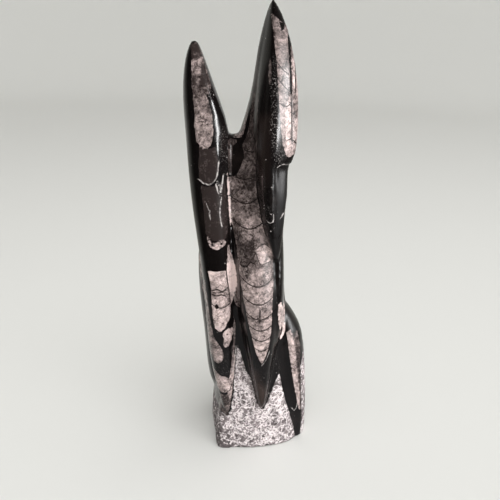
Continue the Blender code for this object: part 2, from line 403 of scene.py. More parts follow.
    # stone that the polish hasn't reached
    ("dull", 0, 1, (
        (2, 296), (6, 292), (8.6, 286), (8.4, 252), (9, 240), (10.4, 228), (13, 217), (9, 212), (10, 180),
        (8, 150), (4, 150), (5, 180), (6.5, 213), (5, 235), (3, 260),
    )),
    ("dull", 0, 1.2, ((11, 212), (18, 212), (19, 196), (17, 176), (12, 166), (8, 170), (8, 195))),
    ("dull", 0, 1.2, ((-4, 168), (9, 168), (9, 118), (-4, 118))),
    ("dull", 0, 0.5, ((-14, 280), (-4, 296), (-2, 270), (-1, 240), (-2, 215), (-9, 215), (-12, 240))),
    ("dull", 0, 1.2, ((14, 116), (26, 116), (32, 90), (18, 88))),
)

# Thin lines in front, as half width and course: white veins in the limestone, some of them painted highlights
# along edges, and dark seams in the calcite. A course is points as across and height.
VEINS = (
    (0.36, (
        (-43.2, 202), (-40.8, 200.1), (-38.2, 199.2), (-36.4, 199.2), (-34.2, 200.6), (-32.5, 203.1),
        (-31.3, 207.7), (-31.2, 213.5),
    )),
    (0.4, ((-28.1, 204.2), (-28.7, 199.2), (-29.5, 194.2))),
    (0.32, ((-29.2, 189.6), (-29.9, 185.2), (-30.1, 180.6), (-29.5, 176), (-28.8, 171.9))),
    (0.4, ((-36.7, 180.9), (-36.2, 177.6))),
    (0.25, ((-38.3, 186.1), (-37.3, 182.9))),
    (0.4, ((-32.6, 199), (-31.7, 195.7), (-31.1, 193.7))),
    (0.28, ((1.1, 178.7), (2.4, 178.1), (3.9, 179.2), (4.5, 181.1), (4.1, 182.7))),
    (0.45, ((9.5, 181.4), (10.4, 182.7), (10.9, 183.4))),
    # the ledge's pale chipped edge, which also paints the highlight along it
    (0.25, ((6.5, 213.3), (8.7, 214.3), (11.3, 213.6), (14, 213.4))),
    # painted highlight: a small arc of light at the foot of the shoulder's stripe
    (0.2, ((25, 29.1), (27.2, 25.8), (28.6, 28), (28.8, 31.6))),
    # painted highlight: the thin line of light along the edge where the left flank meets the shaft behind it
    (0.3, ((-46, 137), (-43.4, 129.5), (-40.2, 121), (-37.7, 112))),
    (0.35, ((-18, 82.3), (-18.6, 73), (-19.8, 64.6))),
    (0.35, ((-15, 79), (-16.4, 70.4), (-16.9, 60.3))),
    (0.12, ((0.4, 75.6), (3.6, 80.6), (5.4, 86.6))),
)
SEAMS = (
    (0.5, ((-2.2, 119), (-2.3, 115), (-2.4, 111.2))),
    (0.3, ((12.2, 251.8), (12.9, 240), (13.6, 228))),
    (0.35, ((13.2, 280), (14.2, 265.5), (14.6, 256))),
    (0.25, ((2.5, 272.5), (4.4, 270.4), (6.8, 268), (9.3, 266.4))),
    (0.25, ((4.7, 262.3), (7.2, 259.6), (9.7, 257.4), (11.4, 256.2))),
    (0.25, ((5.8, 249.7), (7.6, 248.6), (9.5, 248.2), (11.2, 249.3))),
    (0.25, ((11, 229), (12.9, 229.4), (14.9, 228.1), (17, 225.8))),
    (0.3, ((-25.3, 141), (-24.6, 134), (-23.4, 127), (-22.5, 119))),
    (0.3, FLANK_EDGE),
    (0.35, ((-34.8, 127.4), (-31.2, 128.8), (-28, 126.8), (-25.4, 128.4))),
    (0.35, ((-34.4, 124.6), (-31.4, 123.8), (-28.6, 125), (-26, 123.4))),
    (0.35, ((-18.4, 149), (-15.6, 146.6), (-12.3, 146.6), (-9.6, 150.6), (-7.2, 149.6))),
    (0.2, PALE_TOP),
    (0.2, PALE_BOTTOM),
)

# What every vertex shows before anything is laid on it: how far inside a fossil it is, its lightness, the
# distance from the nearest seam and vein with their half widths, and the strength of the other marks.
# FAR stands for a distance that is too long to matter.
FAR = 12.0
BARE_STONE = {
    "fossil": -FAR, "tone": 0.5, "seam": FAR, "seam_width": -FAR, "vein": FAR, "vein_width": -FAR,
    "speckle": 0.0, "warm": 0.0, "dull": 0.0, "bruised": 0.5,
}

# Chamber walls: how far they lift towards their ends, as a share of half their width, how many half widths
# the lift goes on for, the least half width that it is worked out with, and how far past the fossil's edge
# they are drawn.
SEPTUM_RISE = 0.42
SEPTUM_REACH = 1.2
SEPTUM_LEAST = 0.5
SEPTUM_PAST_EDGE = 0.6
SEPTUM_HALF_WIDTH = 0.37
LINE_REACH = 1.6  # distance from a line beyond which its width fades away
CHAMBER_CHANGE = 0.05  # how much the lightness may differ from chamber to chamber
CHAMBER_SEED = 7
PECK_SEED = 1  # keeps the chisel's pits the same each time

# How patches lie: the side that is in front, the width over which the edge of each kind fades, and how
# squarely the stone has to face the side that a patch is seen from. Below 0 it reaches round the corner,
# and a kind that has no number here has 0 in front.
FRONT = 0
BLURS = {"tone": 1.2, "speckle": 4.0, "warm": 6.0, "dull": 6.0, "bruised": 5.0}
FRONT_WRAPS = {"calcite": -0.15, "limestone": -0.3}
SIDE_WRAP = 0.4
FACING_REACH = 14.0  # turns how squarely a side is faced into a distance inside an outline

# Where the surface is pecked: below the foot's top it is what lies within a skin's depth of the roughed-out
# foot, and the rough right side up to an edge that falls away to the front and the back.
FOOT_TOP = 98
FOOT_SKIN = 0.55
ROUGH_SIDE_TOP = 84
ROUGH_SIDE_ARCH = 4
UNDERSIDE = 0.4  # height below which the stone is the flat-cut underside

# Relief: how much longer than wide the hand-ground hollows are, how the chisel's pits are bent, ridged and
# roughened, the ledge under the tall horn's fossil as low and high ends of its rises, and the height that
# the relief reaches its full depth at.
FLUTE_STRETCH = 6
PIT_EDGE = (-0.2, 0.6)
PIT_BEND = 0.9
PIT_BEND_SCALE = 0.8
PIT_LEVEL = 0.55
PIT_RIDGE = 0.45
PIT_RIDGE_SHARPNESS = 4
PIT_ROUGHNESS = 0.3
PIT_ROUGH_SCALE = 2
PIT_ROUGH_LAYERS = (0.6, 2.2, 3)  # how fast they weaken, how much finer each is, and their number
LEDGE_TOP = 214
LEDGE_EDGE = (0, 0.8)
LEDGE_FADE = (3, 20)
LEDGE_ACROSS = (4, 8)
LEDGE_FORWARD = (-2, 4)
RELIEF_FULL = 2.5

# The studio, in metres: a round floor with a curved rim, whose wall glows more the further it is from the
# middle, and the point that the lamps aim at.
BOWL_RADIUS = 2.6
BOWL_CURVE = 1.2
BOWL_MIDDLE = 0.95  # share of the floor inside its first edge, which keeps it flat when shaded smooth
BOWL_WALL = 1.5
BOWL_SIDES = 96
BOWL_STEPS = 10
GLOW_BEGINS = 0.6
GLOW_FULL = 3.3
TOWER_MIDDLE = Vector((-0.01, 0, 0.17))

# Lamps: name, turn from the front and rise in degrees, distance, width and height, lean in degrees, and
# radiance. The near lamps light the stone alone, and so does the glow of the table round the foot.
OVERHEAD = ("overhead", 30, 72, 2.8, (3, 3), 0, 3.9)
NEAR_LAMPS = (
    ("window", 53, 16, 0.9, (0.13, 0.6), 45, 32),
    ("side_window", 79, 2, 0.9, (0.22, 0.22), 0, 6),
    ("back_left", -150, 15, 0.9, (0.8, 0.8), 0, 0.16),
    ("back_right", 150, 15, 0.9, (0.8, 0.8), 0, 0.4),
)
BOUNCE_SIZE = 0.68
BOUNCE_RADIANCE = 0.25

# The room's light: its colour, its strength from in front of the stone and from behind it, and between
# which backward parts of a direction it changes.
ROOM_COLOUR = (1.0, 0.98, 0.88, 1)
ROOM_FRONT = 0.015
ROOM_BACK = 0.37
ROOM_CHANGE = (-0.2, 0.6)

SENSOR_WIDTH = 36  # the camera's, in millimetres as its lens
NEAREST_SEEN = 0.01


# ---------------------------------------------------------------------------------------------
# Settings
# ---------------------------------------------------------------------------------------------
def length_setting(name, description, default):
    """A length that the sidebar shows in the scene's unit."""
    return bpy.props.FloatProperty(name=name, description=description, default=default, unit="LENGTH")


def colour_setting(name, description, default):
    """An opaque colour, from its red, green and blue."""
    return bpy.props.FloatVectorProperty(
        name=name, description=description, default=(*default, 1), subtype="COLOR", size=4
    )


class TowerSettings(bpy.types.PropertyGroup):
    """Sizes of the stone's surface."""

    grain: length_setting(
        "Mesh grain", "Size of the cells that the stone's surface is rebuilt with", 1.25 * MM
    )
    softening: bpy.props.IntProperty(
        name="Softening",
        description="Rounds of polishing that ease the grooves and edges",
        default=5,
    )
    flute_depth: length_setting(
        "Flute depth", "Depth of the long hand-ground hollows in the polished shafts", 0.35 * MM
    )
    flute_width: length_setting(
        "Flute width", "Width of the hand-ground hollows", 9 * MM
    )
    peck_depth: length_setting(
        "Peck depth", "Depth of the pits that the chisel leaves in the foot", 0.7 * MM
    )
    peck_width: length_setting(
        "Peck width", "Distance between the pits in the foot", 3.2 * MM
    )
    chip_depth: length_setting(
        "Ledge depth", "Step in the stone under the tall horn's fossil", 0.9 * MM
    )


class FinishSettings(bpy.types.PropertyGroup):
    """Colours and polish of the stone."""

    limestone: colour_setting(
        "Limestone", "Colour of the black limestone", (0.004, 0.003, 0.003)
    )
    limestone_warm: colour_setting(
        "Warm limestone", "Colour of the browner clouds in the limestone", (0.035, 0.023, 0.02)
    )
    calcite_pale: colour_setting(
        "Pale calcite", "Colour of the palest calcite in the fossils", (0.74, 0.59, 0.565)
    )
    calcite_dark: colour_setting(
        "Dark calcite", "Colour of the smoky calcite in the fossils", (0.022, 0.016, 0.015)
    )
    seam: colour_setting(
        "Seam", "Colour of the chamber walls and seams", (0.015, 0.011, 0.01)
    )
    vein: colour_setting(
        "Vein", "Colour of the white veins and specks", (0.72, 0.66, 0.64)
    )
    pecked: colour_setting(
        "Pecked stone", "Colour of the pecked limestone between the chisel marks", (0.07, 0.056, 0.057)
    )
    pecked_dusty: colour_setting(
        "Dusty stone", "Colour of the pecked limestone where crushed dust lies on it", (0.22, 0.183, 0.187)
    )
    crushed: colour_setting(
        "Crushed stone", "Colour of the bruised strokes that the chisel leaves", (0.76, 0.69, 0.695)
    )
    polish: bpy.props.FloatProperty(
        name="Polish",
        description="Roughness of the polished limestone",
        subtype="FACTOR",
        default=0.12,
    )


class StageSettings(bpy.types.PropertyGroup):
    """The floor, the lights and the camera."""

    floor_colour: colour_setting(
        "Floor", "Colour of the floor", (0.69, 0.69, 0.67)
    )
    wall_glow: colour_setting(
        "Wall glow",
        "Light that the backdrop gives of itself, so that it is as pale as the floor",
        (0.16, 0.16, 0.152),
    )
    light: bpy.props.FloatProperty(
        name="Light",
        description="Strength of all the lights together",
        default=1,
    )
    camera_place: bpy.props.FloatVectorProperty(
        name="Camera",
        description="Place of the camera",
        subtype="TRANSLATION",
        default=(-10 * MM, -320 * MM, 278 * MM),
    )
    camera_pitch: bpy.props.FloatProperty(
        name="Pitch",
        description="How far the camera looks down",
        subtype="ANGLE",
        default=math.radians(22.1),
    )
    camera_roll: bpy.props.FloatProperty(
        name="Roll",
        description="How far the camera leans",
        subtype="ANGLE",
        default=math.radians(1.6),
    )
    camera_lens: bpy.props.FloatProperty(
        name="Lens",
        description="Focal length of the camera",
        subtype="DISTANCE_CAMERA",
        default=35.28,
    )


# ---------------------------------------------------------------------------------------------
# Shaping the stone
# ---------------------------------------------------------------------------------------------
def make_active(piece):
    """Leaves only this piece selected and active."""
    bpy.ops.object.select_all(action="DESELECT")
    piece.select_set(True)
    bpy.context.view_layer.objects.active = piece


def apply_modifier(piece, kind, **settings):
    """Adds a modifier with these settings and applies it."""
    modifier = piece.modifiers.new(kind.lower(), kind)
    for setting, value in settings.items():
        setattr(modifier, setting, value)
    make_active(piece)
    bpy.ops.object.modifier_apply(modifier=modifier.name)


def stone_block(settings):
    """A closed, even mesh of the tower's solid, its grooves eased as by polishing."""
    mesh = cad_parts[NODE].data.copy()
    mesh.name = PIECE
    stone = bpy.data.objects.new(PIECE, mesh)
    bpy.context.scene.collection.objects.link(stone)
    make_active(stone)
    bpy.ops.object.mode_set(mode="EDIT")
    bpy.ops.mesh.select_all(action="SELECT")
    bpy.ops.mesh.remove_doubles(threshold=0.01 * MM)
    bpy.ops.object.mode_set(mode="OBJECT")
    apply_modifier(stone, "REMESH", mode="VOXEL", voxel_size=settings.grain)
    apply_modifier(stone, "SMOOTH", factor=0.5, iterations=settings.softening)
    return stone


def places_and_normals(mesh):
    """Every vertex's place in millimetres, and its normal."""
    places, normals = np.empty((2, len(mesh.vertices) * 3))
    mesh.vertices.foreach_get("co", places)
    mesh.vertices.foreach_get("normal", normals)
    return places.reshape(-1, 3) / MM, normals.reshape(-1, 3)


def foot_corner(ring, corner, squareness, turn):
    """One corner of a foot ring, wide enough that the smoothed ring has its size."""
    height, across, deep, half_width, half_depth = ring
    angle = 2 * math.pi * corner / FOOT_CORNERS
    cosine, sine = math.cos(angle), math.sin(angle)
    reach = (abs(cosine) ** squareness + abs(sine) ** squareness) ** (-1 / squareness)
    reach /= 2 / 3 + math.cos(2 * math.pi / FOOT_CORNERS) / 3
    turned = Matrix.Rotation(math.radians(turn), 2)
    flat = turned @ Vector((half_width * reach * cosine, half_depth * reach * sine))
    return across + flat.x, deep + flat.y, height


def foot_tree():
    """A search tree of the roughed-out foot's surface in millimetres, to tell it from the shafts on it."""
    corners, faces = [], []
    for squareness, turn, rings in FOOT_COLUMNS:
        first = len(corners)
        for ring in rings:
            corners += [foot_corner(ring, corner, squareness, turn) for corner in range(FOOT_CORNERS)]
        faces.append(tuple(range(first, first + FOOT_CORNERS)))
        for upper in range(first, len(corners) - FOOT_CORNERS, FOOT_CORNERS):
            for corner in range(FOOT_CORNERS):
                after = (corner + 1) % FOOT_CORNERS
                lower = upper + FOOT_CORNERS
                faces.append((upper + corner, lower + corner, lower + after, upper + after))
    mesh = bpy.data.meshes.new("foot")
    mesh.from_pydata(corners, [], faces)
    foot = bpy.data.objects.new("foot", mesh)
    bpy.context.scene.collection.objects.link(foot)
    apply_modifier(foot, "SUBSURF", levels=1, render_levels=1)
    tree = BVHTree.FromObject(foot, bpy.context.evaluated_depsgraph_get())
    bpy.data.objects.remove(foot)
    return tree


def seen_from(places, side):
    """Across and height of each place, seen from a side."""
    turn = math.radians(side)
    return np.column_stack((places[:, 0] * math.cos(turn) + places[:, 1] * math.sin(turn), places[:, 2]))


def faced(normals, side):
    """How squarely each normal faces a side: 1 straight at it, 0 edge on."""
    turn = math.radians(side)
    return normals[:, 0] * math.sin(turn) - normals[:, 1] * math.cos(turn)


def distance_from(flat, start, edge):
    """Distance of each flat point from one edge, which begins at start."""
    along = np.clip((flat - start) @ edge / (edge @ edge), 0, 1)
    away = flat - start - along[:, None] * edge
    return np.hypot(away[:, 0], away[:, 1])


def inside_by(flat, outline):
    """How far each flat point lies inside an outline, negative outside."""
    points = np.asarray(outline, float)
    nearest = np.full(len(flat), FAR)
    inside = np.zeros(len(flat), bool)
    for start, end in zip(points, np.roll(points, -1, axis=0)):
        edge = end - start
        nearest = np.minimum(nearest, distance_from(flat, start, edge))
        if edge[1]:
            crosses = (start[1] > flat[:, 1]) != (end[1] > flat[:, 1])
            inside ^= crosses & (flat[:, 0] < start[0] + (flat[:, 1] - start[1]) * edge[0] / edge[1])
    return np.where(inside, nearest, -nearest)


def beside(flat, course):
    """Distance of each flat point from a course: positive to its left, negative to its right."""
    points = np.asarray(course, float)
    signed = np.full(len(flat), FAR)
    for start, end in zip(points, points[1:]):
        edge = end - start
        distance = distance_from(flat, start, edge)
        left = edge[0] * (flat[:, 1] - start[1]) - edge[1] * (flat[:, 0] - start[0])
        signed = np.where(distance < abs(signed), np.where(left < 0, -distance, distance), signed)
    return signed


def patch_by(places, normals, side, outline, wrap=0.0):
    """How far inside an outline each place on that side lies, negative outside."""
    inside = inside_by(seen_from(places, side), outline)
    return np.minimum(inside, (faced(normals, side) - wrap) * FACING_REACH)


def pecked_by(places, normals, tree):
    """How far inside the pecked surface each place lies, negative on the polished stone."""
    away = np.full(len(places), FAR)
    for index in np.flatnonzero(places[:, 2] < FOOT_TOP + FAR):
        away[index] = tree.find_nearest(places[index])[3]
    begins = np.interp(places[:, 2], ROUGH_SIDE_HEIGHTS, ROUGH_SIDE_ACROSS)
    top = ROUGH_SIDE_TOP - (places[:, 1] / ROUGH_SIDE_ARCH) ** 2
    rough_side = np.minimum(places[:, 0] - begins, top - places[:, 2])
    pecked = np.maximum(FOOT_SKIN - away, rough_side)
    for kind, side, _, outline in PATCHES:
        if kind == "pecked":
            pecked = np.maximum(pecked, patch_by(places, normals, side, outline))
        elif kind == "polished":
            pecked = np.minimum(pecked, -patch_by(places, normals, side, outline))
    return np.maximum(pecked, UNDERSIDE - places[:, 2])


class Marks:
    """What the stone shows at each vertex, gathered marking by marking."""

    def __init__(self, places, normals):
        self.places = places
        self.normals = normals
        for name, value in BARE_STONE.items():
            setattr(self, name, np.full(len(places), value))

    def add_fossil(self, fossil, chances):
        """Paints one tapering fossil with its chamber walls."""
        heights, lefts, rights = np.array(sorted(fossil.rows)).T
        outline = [(left, height) for height, left, right in fossil.rows]
        outline += [(right, height) for height, left, right in reversed(fossil.rows)]
        inside = patch_by(self.places, self.normals, fossil.side, outline, fossil.wrap)
        flat = seen_from(self.places, fossil.side)
        levels, lightness = np.array(sorted(fossil.tones)).T
        tone = np.interp(flat[:, 1], levels, lightness)
        if fossil.septa:
            half = np.maximum(np.interp(flat[:, 1], heights, (rights - lefts) / 2), SEPTUM_LEAST)
            middle = np.interp(flat[:, 1], heights, (rights + lefts) / 2)
            aside = np.clip((flat[:, 0] - middle) / half, -SEPTUM_REACH, SEPTUM_REACH)
            lift = SEPTUM_RISE * aside ** 2 * half
            walls = np.array(fossil.septa)
            offsets = (flat[:, 1] - lift)[:, None] - walls
            nearest = abs(offsets).argmin(axis=1)
            wall = offsets[np.arange(len(flat)), nearest]
            self.add_line("seam", wall, np.where(inside > -SEPTUM_PAST_EDGE, SEPTUM_HALF_WIDTH, -FAR))
            chamber = (offsets > 0).sum(axis=1)
            tone = tone + chances.uniform(-CHAMBER_CHANGE, CHAMBER_CHANGE, len(walls) + 1)[chamber]
        self.tone = np.where(inside > self.fossil, tone, self.tone)
        self.fossil = np.maximum(self.fossil, inside)

    def add_patch(self, kind, side, amount, outline):
        """Lays one patch of the table on the stone, unless it is one that bounds the pecked surface."""
        wrap = FRONT_WRAPS.get(kind, 0.0) if side == FRONT else SIDE_WRAP
        inside = patch_by(self.places, self.normals, side, outline, wrap)
        if kind == "calcite":
            self.tone = np.where(inside > self.fossil, amount, self.tone)
            self.fossil = np.maximum(self.fossil, inside)
        elif kind == "limestone":
            self.fossil = np.minimum(self.fossil, -inside)
        elif kind in BLURS:
            mark = getattr(self, kind)
            share = np.clip(inside / BLURS[kind] + 0.5, 0, 1)
            if kind in ("tone", "bruised"):
                setattr(self, kind, mark + (amount - mark) * share)
            else:
                setattr(self, kind, np.maximum(mark, amount * share))

    def add_course(self, kind, half_width, course):
        """Draws a line along a course seen from the front."""
        signed = beside(seen_from(self.places, FRONT), course)
        self.add_line(kind, signed, np.where(faced(self.normals, FRONT) > 0, half_width, -FAR))

    def add_line(self, kind, signed, half_width):
        """Keeps, for each place, the nearest line's distance and its half width, which fades away from it."""
        faded = half_width - np.clip(abs(signed) - LINE_REACH, 0, FAR)
        nearer = (abs(signed) < abs(getattr(self, kind))) & (faded > -LINE_REACH)
        setattr(self, kind, np.where(nearer, signed, getattr(self, kind)))
        width = kind + "_width"
        setattr(self, width, np.where(nearer, faded, getattr(self, width)))


def paint_marks(stone, tree):
    """Stores the fossils, veins, seams and pecked surface on the stone's vertices."""
    mesh = stone.data
    places, normals = places_and_normals(mesh)
    marks = Marks(places, normals)
    chances = np.random.default_rng(CHAMBER_SEED)
    for fossil in FOSSILS:
        marks.add_fossil(fossil, chances)
    for patch in PATCHES:
        marks.add_patch(*patch)
    for kind, lines in (("vein", VEINS), ("seam", SEAMS)):
        for half_width, course in lines:
            marks.add_course(kind, half_width, course)
    for name in BARE_STONE:
        store(mesh, name, getattr(marks, name))
    store(mesh, "pecked", pecked_by(places, normals, tree))


def store(mesh, name, values):
    """Keeps one number for each vertex under a name that the material reads."""
    layer = mesh.attributes.new(name, "FLOAT", "POINT")
    layer.data.foreach_set("value", values.astype(np.float32))


def refine_foot(stone, tree):
    """Halves the mesh's grain where the foot is pecked."""
    mesh = stone.data
    places, normals = places_and_normals(mesh)
    pecked = (pecked_by(places, normals, tree) > 0) & (places[:, 2] > UNDERSIDE)
    make_active(stone)
    bpy.ops.object.mode_set(mode="EDIT")
    bpy.ops.mesh.select_mode(type="FACE")
    bpy.ops.mesh.select_all(action="DESELECT")
    bpy.ops.object.mode_set(mode="OBJECT")
    for face in mesh.polygons:
        face.select = all(pecked[vertex] for vertex in face.vertices)
    bpy.ops.object.mode_set(mode="EDIT")
    bpy.ops.mesh.subdivide(number_cuts=1)
    bpy.ops.object.mode_set(mode="OBJECT")


def step(values, low, high):
    """0 below low, 1 above high, and a smooth rise between them."""
    share = np.clip((values - low) / (high - low), 0, 1)
    return share * share * (3 - 2 * share)


def hollow_at(place):
    """How hollow the hand-ground stone is at a place given in flute widths, from 0 to 1."""
    return 0.5 - 0.5 * noise.noise((place[0], place[1], place[2] / FLUTE_STRETCH))


def pit_at(place):
    """How deep the chisel went at a place given in peck widths: pits between sharp ridges."""
    bent = place + noise.noise_vector(place * PIT_BEND_SCALE) * PIT_BEND
    ridge = 1 - min(abs(noise.noise(bent)) * PIT_RIDGE_SHARPNESS, 1)
    rough = noise.fractal(place * PIT_ROUGH_SCALE, *PIT_ROUGH_LAYERS)
    return PIT_LEVEL - PIT_RIDGE * ridge + PIT_ROUGHNESS * rough


def carve(stone, tree, settings):
    """Sinks the hand-ground hollows, the chisel's pits and the ledge under the tall horn's fossil."""
    mesh = stone.data
    places, normals = places_and_normals(mesh)
    pecked = step(pecked_by(places, normals, tree), *PIT_EDGE)
    hollows = np.array([hollow_at(place) for place in places / (settings.flute_width / MM)])
    noise.seed_set(PECK_SEED)
    pits = np.zeros(len(places))
    for index in np.flatnonzero(pecked > 0):
        pits[index] = pecked[index] * pit_at(Vector(places[index]) / (settings.peck_width / MM))
    store(mesh, "pit", pits)
    below = LEDGE_TOP - places[:, 2]
    ledge = step(below, *LEDGE_EDGE) * (1 - step(below, *LEDGE_FADE))
    ledge *= step(places[:, 0], *LEDGE_ACROSS) * step(-places[:, 1], *LEDGE_FORWARD)
    sunk = settings.flute_depth / MM * hollows * (1 - pecked)
    sunk += settings.peck_depth / MM * pits + settings.chip_depth / MM * ledge
    sunk = np.maximum(sunk, 0) * step(places[:, 2], UNDERSIDE, RELIEF_FULL)
    places -= normals * sunk[:, None]
    mesh.vertices.foreach_set("co", (places * MM).ravel())
    mesh.update()


# ---------------------------------------------------------------------------------------------
# Materials
# ---------------------------------------------------------------------------------------------
class Wiring:
    """Adds and links the nodes of one material."""

    def __init__(self, tree):
        self.tree = tree
        tree.nodes.clear()

    def add(self, kind, inputs=None, **settings):
        """A node with these settings; each input is a value or another node's output."""
        node = self.tree.nodes.new(kind)
        count = len(self.tree.nodes) - 1
        node.location = (240 * (count // 8), -260 * (count % 8))
        for setting, value in settings.items():
            setattr(node, setting, value)
        for socket, value in (inputs or {}).items():
            if isinstance(value, bpy.types.NodeSocket):
                self.tree.links.new(value, node.inputs[socket])
            else:
                node.inputs[socket].default_value = value
        return node

    def attribute(self, name):
        """A number stored on the mesh."""
        return self.add("ShaderNodeAttribute", attribute_name=name).outputs["Fac"]

    def math(self, operation, first, second=0.0, third=0.0):
        """One step of arithmetic on numbers."""
        return self.add("ShaderNodeMath", {0: first, 1: second, 2: third}, operation=operation).outputs[0]

    def rise(self, value, low, high, bottom=0.0, top=1.0):
        """A smooth rise from bottom to top as the value goes from low to high."""
        inputs = {"Value": value, "From Min": low, "From Max": high, "To Min": bottom, "To Max": top}
        return self.add("ShaderNodeMapRange", inputs, interpolation_type="SMOOTHSTEP").outputs["Result"]

    def blend(self, share, first, second):
        """A mix of two colours."""
        return self.add("ShaderNodeMix", {0: share, 6: first, 7: second}, data_type="RGBA").outputs[2]

    def noise(self, place, scale, detail, roughness, distortion=0.0):
        """Soft noise, its scale in cells for each millimetre."""
        inputs = {"Vector": place, "Scale": scale, "Detail": detail, "Roughness": roughness}
        return self.add("ShaderNodeTexNoise", {**inputs, "Distortion": distortion}).outputs["Fac"]

    def contour(self, field, reach):
        """Thin lines where a field of noise passes its middle."""
        away = self.math("ABSOLUTE", self.math("SUBTRACT", field, 0.5))
        return self.rise(away, 0.0, reach, 1.0, 0.0)

    def bent(self, place, scale, amount):
        """Places pushed about by soft noise."""
        push = self.add("ShaderNodeTexNoise", {"Vector": place, "Scale": scale, "Detail": 2.0})
        centred = {0: push.outputs["Color"], 1: (0.5, 0.5, 0.5)}
        centred = self.add("ShaderNodeVectorMath", centred, operation="SUBTRACT").outputs[0]
        inputs = {0: centred, 1: (amount, amount, amount), 2: place}
        return self.add("ShaderNodeVectorMath", inputs, operation="MULTIPLY_ADD").outputs[0]

    def random(self, place, scale):
        """Cells of random numbers: the texture node and its three numbers for each cell."""
        cells = self.add("ShaderNodeTexVoronoi", {"Vector": place, "Scale": scale})
        return cells, self.add("ShaderNodeSeparateColor", {"Color": cells.outputs["Color"]}).outputs


def new_material(name):
    """A bare material, what wires it, and the object's own coordinates."""
    material = bpy.data.materials.new(name)
    material.use_nodes = True
    w = Wiring(material.node_tree)
    return material, w, w.add("ShaderNodeTexCoord").outputs["Object"]


def limestone_colour(w, place, finish):
    """Black limestone with browner clouds, white specks and grey dust."""
    clouds = w.rise(w.noise(place, 0.035, 5.0, 0.62, 0.6), 0.52, 0.78, 0.0, 0.3)
    warmth = w.math("MAXIMUM", clouds, w.attribute("warm"))
    ground = w.blend(warmth, finish.limestone, finish.limestone_warm)
    cell, chance = w.random(w.bent(place, 0.8, 0.7), 0.45)
    patchy = w.noise(place, 0.06, 3.0, 0.7)
    speckle = w.attribute("speckle")
    density = w.math("ADD", w.rise(patchy, 0.48, 0.72, 0.03, 0.3), speckle)
    speck = w.math("SUBTRACT", w.math("MULTIPLY", chance[1], 0.24), cell.outputs["Distance"])
    speck = w.math("MULTIPLY", w.rise(speck, 0.0, 0.06), w.math("GREATER_THAN", density, chance[0]))
    salt = w.rise(w.noise(place, 1.3, 3.0, 0.7), 0.54, 0.68, 0.0, 0.3)
    dust = w.math("MULTIPLY", salt, w.rise(w.math("ADD", patchy, speckle), 0.62, 1.2))
    specks = w.math("MAXIMUM", w.math("MULTIPLY", speck, w.rise(chance[2], 0.0, 1.0, 0.15, 0.6)), dust)
    return w.blend(specks, ground, finish.vein)


def calcite_colour(w, place, finish):
    """Cloudy calcite from smoky to pale, with curly dark lines that crowd at the chamber walls."""
    broad = w.rise(w.noise(place, 0.09, 5.0, 0.62, 1.0), 0.3, 0.7, -0.17, 0.14)
    cloudy = w.rise(w.noise(place, 0.32, 4.0, 0.62, 1.2), 0.3, 0.7, -0.2, 0.17)
    grain = w.rise(w.noise(place, 1.1, 3.0, 0.7), 0.3, 0.7, -0.08, 0.08)
    lightness = w.math("ADD", w.math("ADD", w.attribute("tone"), broad), w.math("ADD", cloudy, grain))
    by_wall = w.rise(w.math("ABSOLUTE", w.attribute("seam")), 0.3, 3.4, 0.16, 0.0)
    crowded = w.math("ADD", w.noise(place, 0.11, 2.0, 0.6), by_wall)
    folded = w.bent(place, 0.25, 3.0)
    curls = w.contour(w.noise(folded, 0.14, 2.0, 0.5), 0.03)
    curls = w.math("MULTIPLY", curls, w.rise(crowded, 0.43, 0.54))
    threads = w.contour(w.noise(folded, 0.36, 3.0, 0.5), 0.035)
    threads = w.math("MULTIPLY", threads, w.rise(crowded, 0.48, 0.62, 0.0, 0.9))
    curls = w.math("MAXIMUM", curls, threads)
    lightness = w.math("MULTIPLY_ADD", curls, -0.32, lightness)
    blot = w.rise(w.noise(folded, 0.2, 3.0, 0.6), 0.56, 0.68, 0.0, -0.22)
    lightness = w.math("ADD", lightness, blot)
    _, glint = w.random(w.bent(place, 0.6, 1.2), 0.6)
    lightness = w.math("ADD", lightness, w.rise(glint[2], 0.0, 1.0, -0.05, 0.05))
    lightness = w.math("MAXIMUM", lightness, 0.0)
    share = w.math("MULTIPLY", w.math("MULTIPLY", lightness, lightness), 0.8)
    return w.blend(share, finish.calcite_dark, finish.calcite_pale)


def pecked_colour(w, place, finish):
    """The chiselled foot: pale bruised strokes on dull dark stone; also where the strokes are."""
    clouds = w.rise(w.noise(place, 0.07, 3.0, 0.6), 0.3, 0.7, -0.2, 0.2)
    bruised = w.math("ADD", w.attribute("bruised"), clouds)
    knotted = w.bent(place, 0.18, 3.5)
    strokes = w.contour(w.noise(knotted, 0.2, 2.0, 0.55), 0.075)
    breaks = w.math("MULTIPLY_ADD", bruised, 0.4, w.noise(place, 0.32, 3.0, 0.6))
    strokes = w.math("MULTIPLY", strokes, w.rise(breaks, 0.5, 0.62))
    nicks = w.contour(w.noise(knotted, 0.4, 2.0, 0.6), 0.06)
    breaks = w.math("MULTIPLY_ADD", bruised, 0.4, breaks)
    nicks = w.math("MULTIPLY", nicks, w.rise(breaks, 0.72, 0.9, 0.1, 0.9))
    crushed = w.math("MAXIMUM", strokes, nicks)
    crushed = w.math("MULTIPLY", crushed, w.rise(w.noise(place, 0.9, 3.0, 0.7), 0.3, 0.55, 0.45, 1.0))
    dull = w.math("MULTIPLY_ADD", bruised, 0.5, w.noise(place, 0.4, 4.0, 0.65))
    ground = w.blend(w.rise(dull, 0.58, 0.9), finish.pecked, finish.pecked_dusty)
    hollow = w.rise(w.attribute("pit"), 0.45, 0.8, 0.0, 0.6)
    ground = w.blend(hollow, ground, finish.pecked)
    return w.blend(crushed, ground, finish.crushed), crushed


